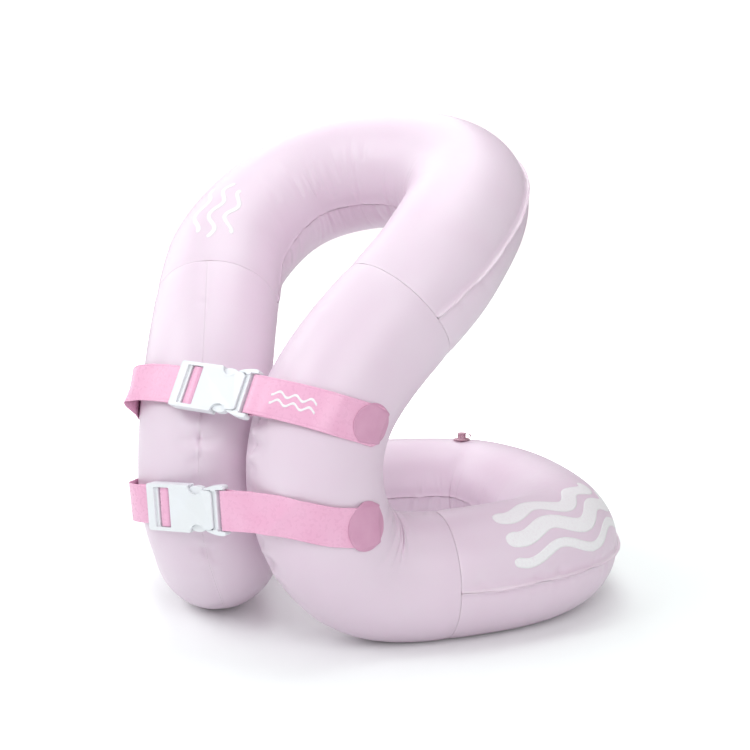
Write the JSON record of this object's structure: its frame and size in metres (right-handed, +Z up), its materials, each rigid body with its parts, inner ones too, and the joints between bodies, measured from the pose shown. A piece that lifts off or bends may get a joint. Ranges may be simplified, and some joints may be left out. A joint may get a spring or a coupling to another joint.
{
  "type": "inflatable swim vest",
  "caption": "Inflatable swim vest: one air tube folded into a neck loop, two chest legs and a waist loop, closed by two straps with side-release buckles.",
  "frame": {"origin": "bottom centre of the bounding box, on the floor the waist loop rests on", "axes": "+Z up, the wearer faces -Y, +X to the wearer's left"},
  "size_m": [0.553, 0.6392, 0.539],
  "materials": {
    "film": "satin",
    "strap": "satin",
    "weld_patch": "satin",
    "buckle": "satin",
    "valve": "gloss"
  },
  "bodies": {
    "vest": {"left_leg_inner_panel": "film", "left_leg_outer_panel": "film", "lower_buckle_socket": "buckle", "lower_left_patch": "weld_patch", "lower_left_strap": "strap", "lower_right_patch": "weld_patch", "lower_right_strap": "strap", "neck_back_panel": "film", "neck_front_panel": "film", "right_leg_inner_panel": "film", "right_leg_outer_panel": "film", "upper_buckle_socket": "buckle", "upper_left_patch": "weld_patch", "upper_left_strap": "strap", "upper_right_patch": "weld_patch", "upper_right_strap": "strap", "valve_body": "valve", "valve_tether": "valve", "waist_lower_panel": "film", "waist_upper_panel": "film"},
    "upper_plug": {"upper_buckle_plug": "buckle"},
    "upper_top_arm": {"upper_buckle_top_arm": "buckle"},
    "upper_bottom_arm": {"upper_buckle_bottom_arm": "buckle"},
    "lower_plug": {"lower_buckle_plug": "buckle"},
    "lower_top_arm": {"lower_buckle_top_arm": "buckle"},
    "lower_bottom_arm": {"lower_buckle_bottom_arm": "buckle"},
    "valve_plug": {"valve_plug": "valve"}
  },
  "joints": [
    {"name": "upper_plug_slide", "type": "slide", "parent": "vest", "child": "upper_plug", "axis": [0.9986, -0.0246, -0.0462], "range_m": [0, 0.038], "deforming": ["upper_right_strap", "upper_buckle_top_arm", "upper_buckle_bottom_arm"]},
    {"name": "upper_top_arm_squeeze", "type": "hinge", "parent": "upper_plug", "child": "upper_top_arm", "pos_m": [0.02295, -0.2905, 0.26847], "axis": [0, -0.8829, 0.4695], "range_deg": [0, 12], "stiffness_Nm_per_rad": 0.5},
    {"name": "upper_bottom_arm_squeeze", "type": "hinge", "parent": "upper_plug", "child": "upper_bottom_arm", "pos_m": [0.02177, -0.301, 0.24872], "axis": [0, 0.8829, -0.4695], "range_deg": [0, 12], "stiffness_Nm_per_rad": 0.5},
    {"name": "lower_plug_slide", "type": "slide", "parent": "vest", "child": "lower_plug", "axis": [0.9981, -0.0005, 0.061], "range_m": [0, 0.038], "deforming": ["lower_right_strap", "lower_buckle_top_arm", "lower_buckle_bottom_arm"]},
    {"name": "lower_top_arm_squeeze", "type": "hinge", "parent": "lower_plug", "child": "lower_top_arm", "pos_m": [0.00106, -0.31311, 0.16103], "axis": [0, -1, -0.0087], "range_deg": [0, 12], "stiffness_Nm_per_rad": 0.5},
    {"name": "lower_bottom_arm_squeeze", "type": "hinge", "parent": "lower_plug", "child": "lower_bottom_arm", "pos_m": [0.00243, -0.31292, 0.13868], "axis": [0, 1, 0.0087], "range_deg": [0, 12], "stiffness_Nm_per_rad": 0.5},
    {"name": "valve_plug_pull", "type": "slide", "parent": "vest", "child": "valve_plug", "axis": [0, 0, 1], "range_m": [0, 0.012], "deforming": ["valve_tether"]}
  ],
  "couplings": [
    {"joint": "upper_bottom_arm_squeeze", "follows": "upper_top_arm_squeeze", "ratio": 1},
    {"joint": "lower_bottom_arm_squeeze", "follows": "lower_top_arm_squeeze", "ratio": 1}
  ]
}
